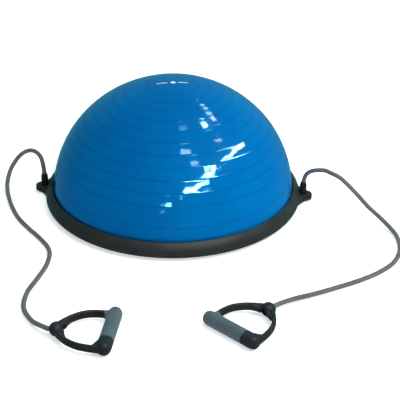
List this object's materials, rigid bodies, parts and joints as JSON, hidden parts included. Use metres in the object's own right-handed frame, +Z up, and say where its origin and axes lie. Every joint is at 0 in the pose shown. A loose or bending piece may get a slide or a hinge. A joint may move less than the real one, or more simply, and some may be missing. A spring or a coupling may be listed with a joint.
{
  "type": "balance dome trainer",
  "caption": "Inflated half-dome on a flat round platform for balance training, with elastic tubes at its sides that end in D-shaped hand grips.",
  "frame": {"origin": "on the floor under the middle of the round platform", "axes": "+Z up through the dome's apex, X through the two tube lugs, the handles lie on the -Y side"},
  "size_m": [0.9197, 0.9385, 0.2885],
  "materials": {
    "dome_vinyl": "glossy blue vinyl, slightly waxy",
    "ring_plastic": "charcoal moulded plastic with a fine satin grain",
    "tray_plastic": "charcoal moulded plastic, coarser grain",
    "foot_rubber": "black rubber",
    "ferrule_rubber": "black rubber, satin",
    "tube_rubber": "matte grey latex tube",
    "handle_plastic": "near-black moulded plastic, satin",
    "grip_overmould": "grey-teal soft overmould, matte",
    "plug_plastic": "black plastic",
    "screw_steel": "zinc-plated steel"
  },
  "bodies": {
    "base": {"base_tray": "tray_plastic", "clamp_ring": "ring_plastic", "valve_seat": "foot_rubber", "foot_1": "foot_rubber", "foot_2": "foot_rubber", "foot_3": "foot_rubber", "foot_4": "foot_rubber", "foot_5": "foot_rubber", "foot_6": "foot_rubber", "rim_screw_1": "screw_steel", "rim_screw_2": "screw_steel", "rim_screw_3": "screw_steel", "rim_screw_4": "screw_steel", "rim_screw_5": "screw_steel", "rim_screw_6": "screw_steel", "rim_screw_7": "screw_steel", "rim_screw_8": "screw_steel"},
    "dome": {"dome_membrane": "dome_vinyl"},
    "valve": {"valve_plug": "plug_plastic"},
    "left_swivel": {"left_ferrule": "ferrule_rubber", "left_tube_stopper": "plug_plastic"},
    "left_cord": {"left_tube": "tube_rubber"},
    "left_cord_end": {"left_end_plug": "plug_plastic"},
    "left_handle": {"left_handle_frame": "handle_plastic", "left_handle_grip": "grip_overmould"},
    "right_swivel": {"right_ferrule": "ferrule_rubber", "right_tube_stopper": "plug_plastic"},
    "right_cord": {"right_tube": "tube_rubber"},
    "right_cord_end": {"right_end_plug": "plug_plastic"},
    "right_handle": {"right_handle_frame": "handle_plastic", "right_handle_grip": "grip_overmould"}
  },
  "joints": [
    {"name": "dome_press", "type": "slide", "parent": "base", "child": "dome", "axis": [0, 0, -1], "range_m": [0, 0.05], "stiffness_N_per_m": 15000, "springref_m": -0.002, "deforming": ["dome_membrane"]},
    {"name": "valve_plug_pull", "type": "slide", "parent": "base", "child": "valve", "axis": [0, 0, -1], "range_m": [0, 0.016]},
    {"name": "left_tube_swivel", "type": "hinge", "parent": "base", "child": "left_swivel", "pos_m": [-0.3075, 0, 0.0171], "axis": [0, 0, 1], "range_deg": [-60, 10]},
    {"name": "left_tube_lift", "type": "hinge", "parent": "left_swivel", "child": "left_cord", "pos_m": [-0.3075, 0, 0.046], "axis": [-0.9755, -0.2199, 0], "range_deg": [0, 70], "deforming": ["left_tube"]},
    {"name": "left_tube_stretch", "type": "slide", "parent": "left_cord", "child": "left_cord_end", "axis": [0.2199, -0.9755, 0], "range_m": [0, 0.25], "stiffness_N_per_m": 80, "deforming": ["left_tube"]},
    {"name": "left_handle_spin", "type": "hinge", "parent": "left_cord_end", "child": "left_handle", "pos_m": [-0.1784, -0.5727, 0.01523], "axis": [0.9997, -0.0244, 0], "continuous": true},
    {"name": "right_tube_swivel", "type": "hinge", "parent": "base", "child": "right_swivel", "pos_m": [0.3075, 0, 0.0171], "axis": [0, 0, 1], "range_deg": [-10, 75]},
    {"name": "right_tube_lift", "type": "hinge", "parent": "right_swivel", "child": "right_cord", "pos_m": [0.3075, 0, 0.046], "axis": [-0.985, 0.1725, 0], "range_deg": [0, 70], "deforming": ["right_tube"]},
    {"name": "right_tube_stretch", "type": "slide", "parent": "right_cord", "child": "right_cord_end", "axis": [-0.1725, -0.985, 0], "range_m": [0, 0.25], "stiffness_N_per_m": 80, "deforming": ["right_tube"]},
    {"name": "right_handle_spin", "type": "hinge", "parent": "right_cord_end", "child": "right_handle", "pos_m": [0.2232, -0.4815, 0.01523], "axis": [-0.6743, -0.7385, 0], "continuous": true}
  ]
}
